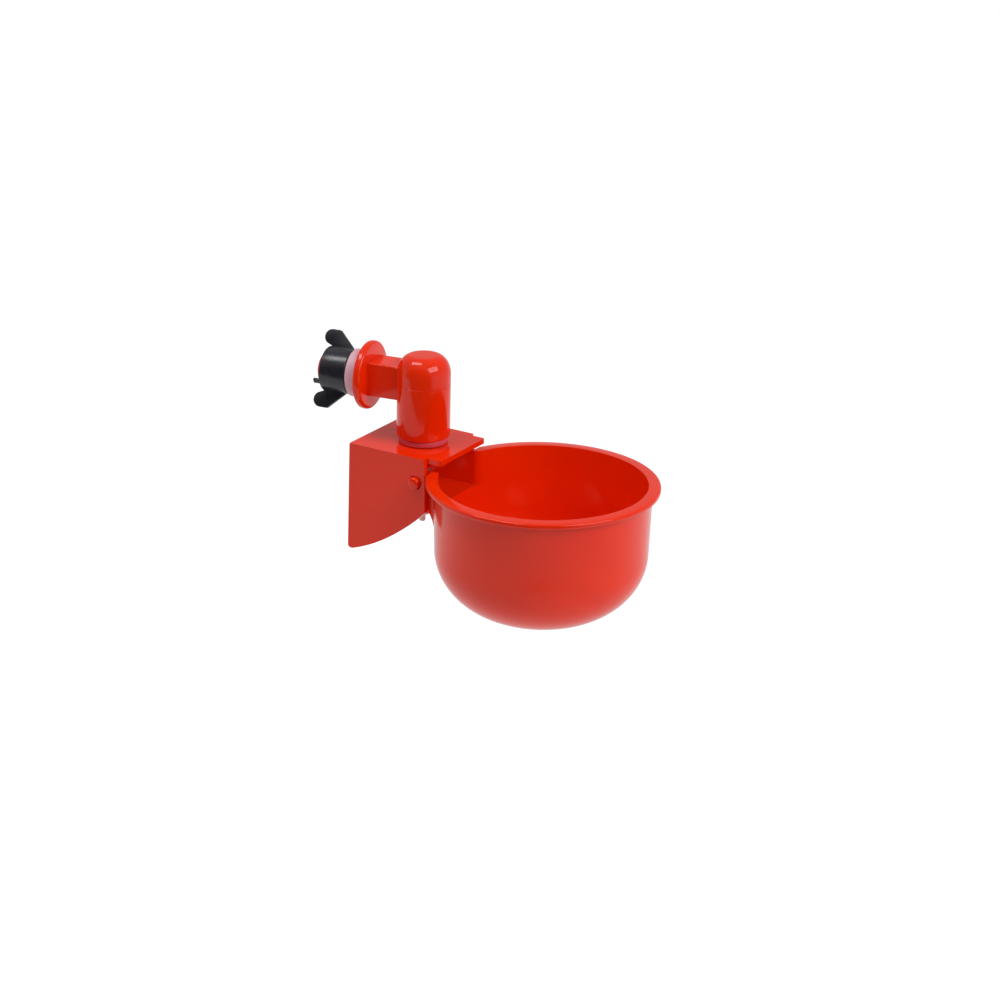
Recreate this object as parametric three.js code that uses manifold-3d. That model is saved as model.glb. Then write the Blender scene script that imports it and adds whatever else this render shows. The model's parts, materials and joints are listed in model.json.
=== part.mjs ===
// Wall-mounted automatic drinking cup for poultry.
// Units are millimetres, +Z is up. The origin lies on the inlet spigot's axis, in the plane of
// the flange face that meets the wall. +Y points through the wall, the cup hangs towards -Y.
import * as THREE from 'three';
import { mergeVertices } from 'three/addons/utils/BufferGeometryUtils.js';
import Module from 'manifold-3d';

const wasm = await Module();
wasm.setup();

// ---------------------------------------------------------------- driving dimensions
const GAP = 0.3;                    // clearance between pieces that touch or slide

// Inlet elbow: wall flange, arm and threaded spigot, all on the Y axis
const TUBE_Y = -24.6;               // valve tube axis, in front of the wall plane
const ARM_ABOVE_PLATE = 23.9;       // spigot axis above the bracket's top plate
const TUBE_R = 10.5;
const TUBE_WALL = 1.8;
const DOME_TOP_Z = 35.3;             // top of the closed dome, above the bracket's top plate
const DOME_FLAT_R = 4.9;            // flat disc on top of the dome
const DOME_SHOULDER = 7.5;          // height of the dome's rounded shoulder
const ARM_WIDTH = 12.2;
const ARM_HEIGHT = 13.4;
const FLANGE_R = 13.5;
const FLANGE_T = 3.2;
const FLANGE_EDGE_R = 1.1;
const SPIGOT_R = 6.6;
const SPIGOT_BORE_R = 4.2;
const SPIGOT_LENGTH = 18.4;
const SPIGOT_CHAMFER = 0.8;

// Sealing and clamping pieces on the spigot
const GASKET_R = 9.5;
const GASKET_T = 5.2;
const GASKET_EDGE = 0.4;
const NUT_R = 8.9;
const NUT_LENGTH = 11;
const NUT_EDGE = 0.5;               // chamfer at both ends of the nut's barrel
const WING_THICKNESS = 1.7;
const WING_LOBE_R = 3.05;
const WING_LOBE_ALONG = 11.5;       // lobe centre from the nut's clamping end
const WING_LOBE_OUT = 12.5;         // lobe centre from the nut's axis
const WING_FOOT_ALONG = 1.3;        // where the sloping edge leaves the barrel
const WING_TOP_ALONG = 8.2;         // corner between the sloping edge and the outer edge
const WING_CORNER = 1.1;
const WING_TURN = 25;               // degrees, plane of the two wings away from upright
const LUG_TURN = -139;              // degrees, where the small lug stands round the nut
const LUG_HALF = 1.1;
const LUG_INNER_R = 7.1;
const LUG_OUTER_R = 8.5;
const LUG_PROUD = 2.9;              // how far the lug stands past the nut's free end

// Valve tube and what it holds, heights above the bracket plate's top face
const TUBE_BOTTOM_Z = 2.8;
const TUBE_FOOT_CHAMFER = 0.5;
const TAIL_R = 7;
const TAIL_BORE_R = 5;
const TAIL_BOTTOM_Z = -9.5;
const SEAT_BOTTOM_Z = 6.8;
const SEAT_T = 3;
const SEAL_GROOVE_Z = 1;            // groove's lower edge above the seat's underside
const SEAL_GROOVE_T = 1.3;
const SEAL_GROOVE_DEPTH = 1;
const THROAT_R = 3.4;               // opening between the chamber and the seat
const CHAMBER_FLOOR_Z = 12;
const STEM_R = 1.25;
const STEM_BOTTOM_Z = -33.4;
const STEM_HEAD_R = 3.4;
const STEM_HEAD_TOP_Z = 3.7;
const SHOULDER_BOTTOM_Z = -18.8;
const SHOULDER_T = 1.7;
const SHOULDER_R = 3.6;
const PAD_R = 3.6;
const PAD_T = 1.43;
const PAD_TOP_Z = 5.43;
const SPRING_R = 3;
const SPRING_END_GAP = 0.15;
const SPRING_WIRE_R = 0.35;
const SPRING_TURNS = 5;
const WASHER_R = 9.7;
const GUIDE_T = 4;
const GUIDE_HUB_T = 3.2;
const GUIDE_SPOKE_T = 2.4;
const LEVEL_NUT_ACROSS = 6;
const LEVEL_NUT_T = 2.8;
const LEVEL_NUT_GAP = 0.6;          // room for the cup's floor to tilt over the nut
const BRACKET_NUT_ACROSS = 19;
const BRACKET_NUT_T = 4.5;

// Bracket: top plate with a front tongue, and two cheeks
const BRACKET_TURN = -8.8 * Math.PI / 180;  // how the bracket sits on the tube at rest
const PLATE_T = 2.1;
const PLATE_BACK = 22.4;            // plate's rear edge behind the tube axis
const PLATE_FRONT = 11.7;
const TONGUE_FRONT = 18.3;
const CHEEK_OUT = 18.2;             // outer face of each cheek from the middle plane
const CHEEK_IN = 16.1;
const CHEEK_BOTTOM_Z = -43.9;
const CHEEK_BACK_LEAN = 0.8;        // how much further back the cheek is at its foot
const PLATE_SIDE = 17.6;            // half width of the top plate, let into the cheeks
const PIVOT_Y = -7.9;
const PIVOT_Z = -10.2;
const PEG_R = 2.5;
const PEG_PROUD = 1.8;
const PEG_CHAMFER = 0.9;

// Cup
const CUP_Y = -54.34;               // cup centre in front of the tube axis
const RIM_R = 45;
const RIM_TOP_Z = -5.3;
const RIM_T = 2.1;
const CUP_WALL = 1.6;
const CUP_WALL_R = 41.9;            // outer wall radius just under the rim
const CUP_DRAFT = 0.024;            // wall taper, mm in for each mm down
const CUP_WALL_END_Z = -32.9;
const CUP_CORNER_R = 30.7;
const CUP_BOTTOM_Z = -59.2;
const RIM_BACK_Y = -14.3;           // flat cut across the back of the rim
const CHUTE_OUT = 15.8;
const CHUTE_IN = 14;
const CHUTE_BACK = 7;
const CHUTE_FLOOR_Z = -19.3;
const CHUTE_FLOOR_T = 1.8;
const JAMB_BACK = -14.4;             // rounded jambs where the chute opens into the bowl
const JAMB_OUT = 16;
const JAMB_FRONT = -17.2;
const CHUTE_REACH = -20;            // how far the chute's pieces run into the bowl's wall
const SLOT_HALF = 1.9;              // slot in the chute floor for the stem
const SLOT_FRONT = -3.8;
const SLOT_BACK = 2.1;
const FIN_HALF = 0.9;
const FIN_FOOT_Z = -31.3;
const GUSSET_X = 8;
const GUSSET_HALF = 0.8;
const GUSSET_BACK = -6.6;
const GUSSET_FOOT_Z = -33;
const BEYOND = 60;                  // half size of a cutting block, well past the cup

// ---------------------------------------------------------------- helpers
const RED = { color: 0xd6280c, roughness: 0.22, metalness: 0 };
const BLACK = { color: 0x2b2c31, roughness: 0.4, metalness: 0 };
const CLEAR_RUBBER = { color: 0xd8a8ae, roughness: 0.45, metalness: 0 };
const WHITE = { color: 0xe6e2da, roughness: 0.4, metalness: 0 };
const DARK_RUBBER = { color: 0x1d1d1f, roughness: 0.7, metalness: 0 };
const STEEL = { color: 0xb9bcc0, roughness: 0.3, metalness: 1 };

/** Turn a closed geometry into a manifold solid with its faces pointing out. */
function solid(geometry) {
  let g = geometry.clone();
  g.deleteAttribute('normal');
  g.deleteAttribute('uv');
  g = mergeVertices(g, 1e-4);
  const vertProperties = new Float32Array(g.attributes.position.array);
  const triVerts = new Uint32Array(g.index.array.length);
  let kept = 0;
  for (let i = 0; i < g.index.array.length; i += 3) {
    const [a, b, c] = g.index.array.slice(i, i + 3);
    if (a === b || b === c || a === c) continue;
    triVerts.set([a, b, c], kept);
    kept += 3;
  }
  const tris = triVerts.slice(0, kept);
  if (signedVolume(vertProperties, tris) < 0) {
    for (let i = 0; i < tris.length; i += 3) [tris[i], tris[i + 1]] = [tris[i + 1], tris[i]];
  }
  return new wasm.Manifold(new wasm.Mesh({ numProp: 3, vertProperties, triVerts: tris }));
}

function signedVolume(p, tris) {
  const a = new THREE.Vector3();
  const b = new THREE.Vector3();
  const c = new THREE.Vector3();
  let sum = 0;
  for (let i = 0; i < tris.length; i += 3) {
    a.fromArray(p, 3 * tris[i]);
    b.fromArray(p, 3 * tris[i + 1]);
    c.fromArray(p, 3 * tris[i + 2]);
    sum += a.dot(b.cross(c));
  }
  return sum / 6;
}

function geometryOf(manifold) {
  const mesh = manifold.getMesh();
  const positions = new Float32Array(mesh.numVert * 3);
  for (let i = 0; i < mesh.numVert; i += 1) {
    for (let k = 0; k < 3; k += 1) positions[3 * i + k] = mesh.vertProperties[mesh.numProp * i + k];
  }
  const g = new THREE.BufferGeometry();
  g.setAttribute('position', new THREE.BufferAttribute(positions, 3));
  g.setIndex(new THREE.BufferAttribute(new Uint32Array(mesh.triVerts), 1));
  g.computeVertexNormals();
  return g;
}

function part(name, manifold, look) {
  const mesh = new THREE.Mesh(geometryOf(manifold), new THREE.MeshStandardMaterial(look));
  mesh.name = name;
  return mesh;
}

/** Solid of revolution about Z from [radius, height] points. */
function turned(points, segments = 32) {
  const profile = points.map(([r, z]) => new THREE.Vector2(r, z));
  return solid(new THREE.LatheGeometry(profile, segments).rotateX(Math.PI / 2));
}

/** Solid of revolution about Y: heights in the points run along +Y. */
function turnedAlongY(points, segments = 32) {
  const profile = points.map(([r, y]) => new THREE.Vector2(r, y));
  return solid(new THREE.LatheGeometry(profile, segments));
}

function disc(r, low, high, segments = 32) {
  return turned([[0, low], [r, low], [r, high], [0, high]], segments);
}

function ring(inner, outer, low, high, segments = 32) {
  return turned([[inner, low], [outer, low], [outer, high], [inner, high], [inner, low]], segments);
}

function block(x0, x1, y0, y1, z0, z1) {
  const g = new THREE.BoxGeometry(x1 - x0, y1 - y0, z1 - z0);
  g.translate((x0 + x1) / 2, (y0 + y1) / 2, (z0 + z1) / 2);
  return solid(g);
}

/** Outline in the YZ plane, extruded from x0 to x1. */
function plateAcrossX(shape, x0, x1, curveSegments = 8) {
  const g = new THREE.ExtrudeGeometry(shape, { depth: x1 - x0, bevelEnabled: false, curveSegments });
  g.applyMatrix4(new THREE.Matrix4().makeBasis(
    new THREE.Vector3(0, 1, 0), new THREE.Vector3(0, 0, 1), new THREE.Vector3(1, 0, 0)));
  g.translate(x0, 0, 0);
  return solid(g);
}

/** Outline in the XY plane, extruded from z0 to z1. */
function plateAcrossZ(shape, z0, z1, curveSegments = 8) {
  const g = new THREE.ExtrudeGeometry(shape, { depth: z1 - z0, bevelEnabled: false, curveSegments });
  return solid(g.translate(0, 0, z0));
}

function pinAlongX(r, x0, x1, y, z, segments = 24) {
  const g = new THREE.CylinderGeometry(r, r, x1 - x0, segments).rotateZ(Math.PI / 2);
  return solid(g.translate((x0 + x1) / 2, y, z));
}

function arc(cx, cy, r, from, to, steps) {
  const points = [];
  for (let i = 0; i <= steps; i += 1) {
    const a = from + (to - from) * i / steps;
    points.push([cx + r * Math.cos(a), cy + r * Math.sin(a)]);
  }
  return points;
}

function hexagon(acrossFlats) {
  const shape = new THREE.Shape();
  const corner = acrossFlats / Math.sqrt(3);
  for (let i = 0; i < 6; i += 1) {
    const a = i * Math.PI / 3;
    if (i === 0) shape.moveTo(corner * Math.cos(a), corner * Math.sin(a));
    else shape.lineTo(corner * Math.cos(a), corner * Math.sin(a));
  }
  return shape;
}

// ---------------------------------------------------------------- elbow housing
// Quarter ellipse from a vertical wall up to the edge of a flat top, as [radius, height] points.
function shoulder(wallR, flatR, top, height, steps) {
  const points = [];
  for (let i = 0; i <= steps; i += 1) {
    const a = Math.PI / 2 * i / steps;
    points.push([flatR + (wallR - flatR) * Math.cos(a), top - height + height * Math.sin(a)]);
  }
  return points;
}

/** Valve tube with its dome and threaded tail, arm, flange and spigot: one hollow moulding. */
function elbowHousing() {
  const plate = -ARM_ABOVE_PLATE;
  const top = plate + DOME_TOP_Z;
  const bottom = plate + TUBE_BOTTOM_Z;
  const tube = turned([
    [0, plate + TAIL_BOTTOM_Z],
    [TAIL_R, plate + TAIL_BOTTOM_Z],
    [TAIL_R, bottom],
    [TUBE_R - TUBE_FOOT_CHAMFER, bottom],
    [TUBE_R, bottom + TUBE_FOOT_CHAMFER],
    ...shoulder(TUBE_R, DOME_FLAT_R, top, DOME_SHOULDER, 8),
    [0, top],
  ], 36);
  const chamberR = TUBE_R - TUBE_WALL;
  const chamberTop = top - TUBE_WALL;
  const chamber = turned([
    [0, plate + TAIL_BOTTOM_Z - 1],
    [TAIL_BORE_R, plate + TAIL_BOTTOM_Z - 1],
    [TAIL_BORE_R, plate + SEAT_BOTTOM_Z + SEAT_T + GAP],
    [THROAT_R, plate + SEAT_BOTTOM_Z + SEAT_T + GAP],
    [THROAT_R, plate + CHAMBER_FLOOR_Z],
    [chamberR, plate + CHAMBER_FLOOR_Z],
    ...shoulder(chamberR, DOME_FLAT_R - 0.7, chamberTop, DOME_SHOULDER - 1.6, 6),
    [0, chamberTop],
  ]);
  const halfW = ARM_WIDTH / 2;
  const halfH = ARM_HEIGHT / 2;
  const arm = block(-halfW, halfW, TUBE_Y, -FLANGE_T / 2, -halfH, halfH);
  // The wall side has a shallow seat for the gasket inside its flat outer ring.
  const flange = turnedAlongY([
    [0, -FLANGE_T],
    ...arc(FLANGE_R - FLANGE_EDGE_R, -FLANGE_T + FLANGE_EDGE_R, FLANGE_EDGE_R, -Math.PI / 2, 0, 4),
    ...arc(FLANGE_R - FLANGE_EDGE_R, -FLANGE_EDGE_R, FLANGE_EDGE_R, 0, Math.PI / 2, 4),
    [GASKET_R + GAP, 0],
    [GASKET_R + GAP, -GAP],
    [0, -GAP],
  ], 40);
  const spigot = turnedAlongY([
    [0, -FLANGE_T],
    [SPIGOT_R, -FLANGE_T],
    [SPIGOT_R, SPIGOT_LENGTH - SPIGOT_CHAMFER],
    [SPIGOT_R - SPIGOT_CHAMFER, SPIGOT_LENGTH],
    [0, SPIGOT_LENGTH],
  ]);
  const bore = turnedAlongY([
    [0, TUBE_Y],
    [SPIGOT_BORE_R, TUBE_Y],
    [SPIGOT_BORE_R, SPIGOT_LENGTH + 1],
    [0, SPIGOT_LENGTH + 1],
  ], 28);
  const shell = tube.translate([0, TUBE_Y, 0]).add(arm).add(flange).add(spigot);
  return shell.subtract(bore).subtract(chamber.translate([0, TUBE_Y, 0]));
}

// ---------------------------------------------------------------- spigot pieces
function wallGasket() {
  const inner = SPIGOT_R + GAP;
  return turnedAlongY([
    [inner, 0],
    [GASKET_R - GASKET_EDGE, 0],
    [GASKET_R, GASKET_EDGE],
    [GASKET_R, GASKET_T - GASKET_EDGE],
    [GASKET_R - GASKET_EDGE, GASKET_T],
    [inner, GASKET_T],
    [inner, 0],
  ]);
}

/** One wing in the YZ plane: its outer edge leans back past the nut's free end. */
function wingOutline(start) {
  const lobeY = start + WING_LOBE_ALONG;
  const outer = WING_LOBE_OUT + WING_LOBE_R;
  const root = NUT_R - 1.2;         // inside the barrel, so that the wing joins it
  const back = start + NUT_LENGTH - 0.2;
  const foot = start + WING_FOOT_ALONG;
  const top = start + WING_TOP_ALONG;
  const along = (top - foot) / Math.hypot(top - foot, outer - NUT_R);
  const out = (outer - NUT_R) / Math.hypot(top - foot, outer - NUT_R);
  const shape = new THREE.Shape();
  shape.moveTo(foot, root);
  shape.lineTo(foot, NUT_R);
  shape.lineTo(top - WING_CORNER * along, outer - WING_CORNER * out);
  shape.quadraticCurveTo(top, outer, top + WING_CORNER, outer);
  shape.absarc(lobeY, WING_LOBE_OUT, WING_LOBE_R, Math.PI / 2, -Math.PI / 3, true);
  shape.lineTo(back, NUT_R);
  shape.lineTo(back, root);
  return shape;
}

function wingNut() {
  const start = GASKET_T + GAP;
  const end = start + NUT_LENGTH;
  const inner = SPIGOT_R + GAP;
  let nut = turnedAlongY([
    [inner, start],
    [NUT_R - NUT_EDGE, start],
    [NUT_R, start + NUT_EDGE],
    [NUT_R, end - NUT_EDGE],
    [NUT_R - NUT_EDGE, end],
    [inner, end],
    [inner, start],
  ]);
  const half = WING_THICKNESS / 2;
  for (const flip of [0, 180]) {
    const wing = plateAcrossX(wingOutline(start), -half, half, 10);
    nut = nut.add(wing.rotate([0, flip, 0]));
  }
  const lug = block(-LUG_HALF, LUG_HALF, end - 2, end + LUG_PROUD, LUG_INNER_R, LUG_OUTER_R);
  return nut.add(lug.rotate([0, LUG_TURN, 0])).rotate([0, WING_TURN, 0]);
}

// ---------------------------------------------------------------- valve, in the tube's frame
function valveSeat() {
  const outer = TAIL_BORE_R - GAP;
  const low = SEAT_BOTTOM_Z;
  const high = SEAT_BOTTOM_Z + SEAT_T;
  return turned([
    [1.5, low - 0.3],
    [2.1, low - 0.3],
    [2.6, low + 0.2],
    [outer, low + 0.2],
    [outer, low + SEAL_GROOVE_Z],
    [outer - SEAL_GROOVE_DEPTH, low + SEAL_GROOVE_Z],
    [outer - SEAL_GROOVE_DEPTH, low + SEAL_GROOVE_Z + SEAL_GROOVE_T],
    [outer, low + SEAL_GROOVE_Z + SEAL_GROOVE_T],
    [outer, high],
    [2.4, high],
    [1.5, high - 0.9],
    [1.5, low - 0.3],
  ]);
}

/** O-ring in the valve seat's groove. */
function seatSealRing() {
  const low = SEAT_BOTTOM_Z + SEAL_GROOVE_Z + 0.15;
  const high = low + SEAL_GROOVE_T - 0.3;
  const outer = TAIL_BORE_R - 0.12;
  const inner = TAIL_BORE_R - GAP - SEAL_GROOVE_DEPTH + 0.15;
  const soft = 0.25;
  return turned([
    [inner, low + soft],
    [inner + soft, low],
    [outer - soft, low],
    [outer, low + soft],
    [outer, high - soft],
    [outer - soft, high],
    [inner + soft, high],
    [inner, high - soft],
    [inner, low + soft],
  ]);
}

function valveStem() {
  const shoulderTop = SHOULDER_BOTTOM_Z + SHOULDER_T;
  return turned([
    [0, STEM_BOTTOM_Z],
    [STEM_R - 0.3, STEM_BOTTOM_Z],
    [STEM_R, STEM_BOTTOM_Z + 0.4],
    [STEM_R, SHOULDER_BOTTOM_Z],
    [2, SHOULDER_BOTTOM_Z],
    [SHOULDER_R - 0.3, SHOULDER_BOTTOM_Z + 0.9],
    [SHOULDER_R, shoulderTop],
    [STEM_R, shoulderTop],
    [STEM_R, STEM_HEAD_TOP_Z - 2.4],
    [STEM_HEAD_R, STEM_HEAD_TOP_Z - 1.4],
    [STEM_HEAD_R, STEM_HEAD_TOP_Z],
    [0, STEM_HEAD_TOP_Z],
  ], 24);
}

function valvePad() {
  const soft = 0.3;
  return turned([
    [0, PAD_TOP_Z - PAD_T],
    [PAD_R - soft, PAD_TOP_Z - PAD_T],
    [PAD_R, PAD_TOP_Z - PAD_T + soft],
    [PAD_R, PAD_TOP_Z - soft],
    [PAD_R - soft, PAD_TOP_Z],
    [0, PAD_TOP_Z],
  ], 24);
}

/** Spider that centres the stem in the tail and lets the water past. */
function stemGuide() {
  const low = TAIL_BOTTOM_Z;
  const rim = ring(TAIL_BORE_R - 1.3, TAIL_BORE_R - GAP, low, low + GUIDE_T, 32);
  const hub = ring(STEM_R + GAP, STEM_R + 1.3, low, low + GUIDE_HUB_T, 24);
  let spider = rim.add(hub);
  for (let i = 0; i < 3; i += 1) {
    const spoke = block(STEM_R + 0.9, TAIL_BORE_R - 0.8, -0.5, 0.5, low, low + GUIDE_SPOKE_T);
    spider = spider.add(spoke.rotate([0, 0, 120 * i]));
  }
  return spider;
}

class HelixCurve extends THREE.Curve {
  constructor(radius, low, high, turns) {
    super();
    Object.assign(this, { radius, low, high, turns });
  }

  getPoint(t, target = new THREE.Vector3()) {
    const a = 2 * Math.PI * this.turns * t;
    const height = this.low + (this.high - this.low) * t;
    return target.set(this.radius * Math.cos(a), this.radius * Math.sin(a), height);
  }
}

function valveSpring() {
  const low = SHOULDER_BOTTOM_Z + SHOULDER_T + SPRING_END_GAP + SPRING_WIRE_R;
  const high = TAIL_BOTTOM_Z - SPRING_END_GAP - SPRING_WIRE_R;
  const section = new THREE.Shape();
  section.absarc(0, 0, SPRING_WIRE_R, 0, 2 * Math.PI, false);
  const curve = new HelixCurve(SPRING_R, low, high, SPRING_TURNS);
  return solid(new THREE.ExtrudeGeometry(section, {
    extrudePath: curve, steps: SPRING_TURNS * 12, bevelEnabled: false, curveSegments: 3,
  }));
}

function adjustingNut() {
  const top = CHUTE_FLOOR_Z - CHUTE_FLOOR_T - LEVEL_NUT_GAP;
  const hex = plateAcrossZ(hexagon(LEVEL_NUT_ACROSS), top - LEVEL_NUT_T, top);
  return hex.subtract(disc(STEM_R + GAP, top - LEVEL_NUT_T - 1, top + 1, 24));
}

function baseWasher() {
  return ring(TAIL_R + GAP, WASHER_R, GAP / 2, TUBE_BOTTOM_Z - GAP / 2);
}

function bracketNut() {
  const top = -PLATE_T - GAP;
  const hex = plateAcrossZ(hexagon(BRACKET_NUT_ACROSS), top - BRACKET_NUT_T, top);
  return hex.subtract(disc(TAIL_R + GAP, top - BRACKET_NUT_T - 1, top + 1, 32));
}

// ---------------------------------------------------------------- bracket, in the tube's frame
/** Side outline of a cheek: square at the back, quarter-round below. */
function cheekOutline() {
  const shape = new THREE.Shape();
  const corner = 0.4;
  const foot = PLATE_BACK + CHEEK_BACK_LEAN;
  shape.moveTo(PLATE_BACK - corner, 0);
  shape.quadraticCurveTo(PLATE_BACK, 0, PLATE_BACK, -corner);
  shape.lineTo(foot, CHEEK_BOTTOM_Z + 2);
  shape.quadraticCurveTo(foot, CHEEK_BOTTOM_Z, foot - 2, CHEEK_BOTTOM_Z);
  shape.quadraticCurveTo(4.6, -38.6, -12.5, -21.9);
  shape.lineTo(-12.1, -PLATE_T);
  shape.lineTo(-PLATE_FRONT, 0);
  return shape;
}

function bracket() {
  const outline = new THREE.Shape();
  outline.moveTo(-PLATE_SIDE, PLATE_BACK);
  outline.lineTo(-PLATE_SIDE, -PLATE_FRONT);
  outline.lineTo(-CHEEK_IN, -PLATE_FRONT);
  outline.lineTo(-CHEEK_IN, -TONGUE_FRONT);
  outline.lineTo(CHEEK_IN, -TONGUE_FRONT);
  outline.lineTo(CHEEK_IN, -PLATE_FRONT);
  outline.lineTo(PLATE_SIDE, -PLATE_FRONT);
  outline.lineTo(PLATE_SIDE, PLATE_BACK);
  let body = plateAcrossZ(outline, -PLATE_T, 0);
  body = body.add(plateAcrossX(cheekOutline(), -CHEEK_OUT, -CHEEK_IN, 12));
  body = body.add(plateAcrossX(cheekOutline(), CHEEK_IN, CHEEK_OUT, 12));
  body = body.subtract(disc(TAIL_R + GAP, -PLATE_T - 1, 1, 40));
  body = body.subtract(pinAlongX(PEG_R + GAP, -CHEEK_OUT - 1, CHEEK_OUT + 1, PIVOT_Y, PIVOT_Z));
  return body;
}

// ---------------------------------------------------------------- cup, in the tube's frame
/** Bowl of revolution; a positive offset gives the same shape inset by that much. */
function bowlSolid(offset, top) {
  const wallEnd = CUP_WALL_R - CUP_DRAFT * (RIM_TOP_Z - RIM_T - CUP_WALL_END_Z) - offset;
  const corner = CUP_CORNER_R - offset / 2;
  const drop = CUP_WALL_END_Z - CUP_BOTTOM_Z - offset;
  const points = [[0, CUP_BOTTOM_Z + offset]];
  const steps = 9;
  for (let i = 0; i <= steps; i += 1) {
    const a = -Math.PI / 2 + Math.PI / 2 * i / steps;
    points.push([wallEnd - corner + corner * Math.cos(a), CUP_WALL_END_Z + drop * Math.sin(a)]);
  }
  points.push([CUP_WALL_R - offset, top], [0, top]);
  return turned(points, 48).translate([0, CUP_Y, 0]);
}

/** The chute between the cheeks, seen from the side, down to its floor. */
function chuteOutline(floor, back) {
  const shape = new THREE.Shape();
  shape.moveTo(CHUTE_REACH, RIM_TOP_Z);
  shape.lineTo(RIM_BACK_Y, RIM_TOP_Z);
  shape.lineTo(PIVOT_Y - 1, RIM_TOP_Z - 0.3);
  shape.quadraticCurveTo(PIVOT_Y + 5, -6.4, PIVOT_Y + 6, PIVOT_Z - 2);
  shape.lineTo(back, floor + 4);
  shape.lineTo(back, floor);
  shape.lineTo(CHUTE_REACH, floor);
  return shape;
}

// Cutter that rounds the upright corner between the chute's side and the bowl's inner wall.
function jamb(side) {
  const shape = new THREE.Shape();
  shape.moveTo(side * (CHUTE_IN - 0.5), JAMB_BACK);
  shape.lineTo(side * CHUTE_IN, JAMB_BACK);
  shape.quadraticCurveTo(side * CHUTE_IN, JAMB_FRONT + 0.7, side * JAMB_OUT, JAMB_FRONT);
  shape.lineTo(side * (CHUTE_IN - 0.5), JAMB_FRONT - 0.5);
  return plateAcrossZ(shape, CHUTE_FLOOR_Z, 10);
}

function cup() {
  const rimUnder = RIM_TOP_Z - RIM_T;
  const rim = ring(CUP_WALL_R - 1, RIM_R, rimUnder, RIM_TOP_Z, 48).translate([0, CUP_Y, 0]);
  const chuteBottom = CHUTE_FLOOR_Z - CHUTE_FLOOR_T;
  let outer = bowlSolid(0, RIM_TOP_Z - 0.5).add(rim);
  outer = outer.subtract(block(-BEYOND, BEYOND, RIM_BACK_Y, BEYOND, -80, 10));
  outer = outer.add(plateAcrossX(chuteOutline(chuteBottom, CHUTE_BACK), -CHUTE_OUT, CHUTE_OUT));
  for (const side of [-1, 1]) {
    outer = outer.add(fin(side)).add(gusset(side));
  }
  const inside = bowlSolid(CUP_WALL, RIM_TOP_Z + 5);
  const bowlInside = inside.subtract(block(-BEYOND, BEYOND, RIM_BACK_Y - CUP_WALL, BEYOND, -80, 10));
  const mouth = block(-CHUTE_IN, CHUTE_IN, CHUTE_REACH - 4, CHUTE_BACK + 5, CHUTE_FLOOR_Z, 10);
  const slot = block(-SLOT_HALF, SLOT_HALF, SLOT_FRONT, SLOT_BACK, chuteBottom - 5, CHUTE_FLOOR_Z + 1);
  let body = outer.subtract(bowlInside).subtract(mouth).subtract(slot);
  body = body.subtract(jamb(-1)).subtract(jamb(1));
  for (const side of [-1, 1]) {
    body = body.add(trunnion(side));
  }
  return body;
}

/** Rib that carries the chute's side wall down the back of the bowl. */
function fin(side) {
  const shape = new THREE.Shape();
  shape.moveTo(CHUTE_REACH, -7);
  shape.lineTo(-13.7, -7);
  shape.lineTo(-14, CHUTE_FLOOR_Z - 1.2);
  shape.quadraticCurveTo(-14.4, -28, -17.6, FIN_FOOT_Z);
  shape.lineTo(CHUTE_REACH, FIN_FOOT_Z);
  const x = side * (CHUTE_OUT + CHUTE_IN) / 2;
  return plateAcrossX(shape, x - FIN_HALF, x + FIN_HALF);
}

/** Web under the chute floor, ahead of the valve stem. */
function gusset(side) {
  const shape = new THREE.Shape();
  const top = CHUTE_FLOOR_Z - 0.7;
  shape.moveTo(CHUTE_REACH, top);
  shape.lineTo(GUSSET_BACK, top);
  shape.lineTo(GUSSET_BACK, top - 1.6);
  shape.lineTo(GUSSET_BACK - 6, GUSSET_FOOT_Z);
  shape.lineTo(CHUTE_REACH, GUSSET_FOOT_Z);
  return plateAcrossX(shape, side * GUSSET_X - GUSSET_HALF, side * GUSSET_X + GUSSET_HALF);
}

function trunnion(side) {
  const low = CHUTE_IN + 0.4;
  const high = CHEEK_OUT + PEG_PROUD;
  const peg = turned([
    [0, low],
    [PEG_R, low],
    [PEG_R, high - PEG_CHAMFER],
    [PEG_R - PEG_CHAMFER, high],
    [0, high],
  ], 24);
  return peg.rotate([0, side * 90, 0]).translate([0, PIVOT_Y, PIVOT_Z]);
}

// ---------------------------------------------------------------- assembly
const drinker = new THREE.Group();
drinker.add(part('elbow_housing', elbowHousing(), RED));
drinker.add(part('wall_gasket', wallGasket(), CLEAR_RUBBER));
drinker.add(part('wing_nut', wingNut(), BLACK));

const valve = new THREE.Group();
valve.position.set(0, TUBE_Y, -ARM_ABOVE_PLATE);
valve.add(part('valve_seat', valveSeat(), WHITE));
valve.add(part('seat_seal_ring', seatSealRing(), DARK_RUBBER));
valve.add(part('valve_stem', valveStem(), WHITE));
valve.add(part('valve_pad', valvePad(), DARK_RUBBER));
valve.add(part('valve_spring', valveSpring(), STEEL));
valve.add(part('stem_guide', stemGuide(), WHITE));
valve.add(part('adjusting_nut', adjustingNut(), WHITE));
valve.add(part('base_washer', baseWasher(), CLEAR_RUBBER));
valve.add(part('bracket_nut', bracketNut(), RED));
drinker.add(valve);

const hanger = new THREE.Group();
hanger.position.copy(valve.position);
hanger.rotation.z = BRACKET_TURN;
hanger.add(part('bracket', bracket(), RED));
hanger.add(part('cup', cup(), RED));
drinker.add(hanger);

export default drinker;
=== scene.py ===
import json
import math

import bmesh
import bpy
from mathutils import Matrix, Vector


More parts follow.
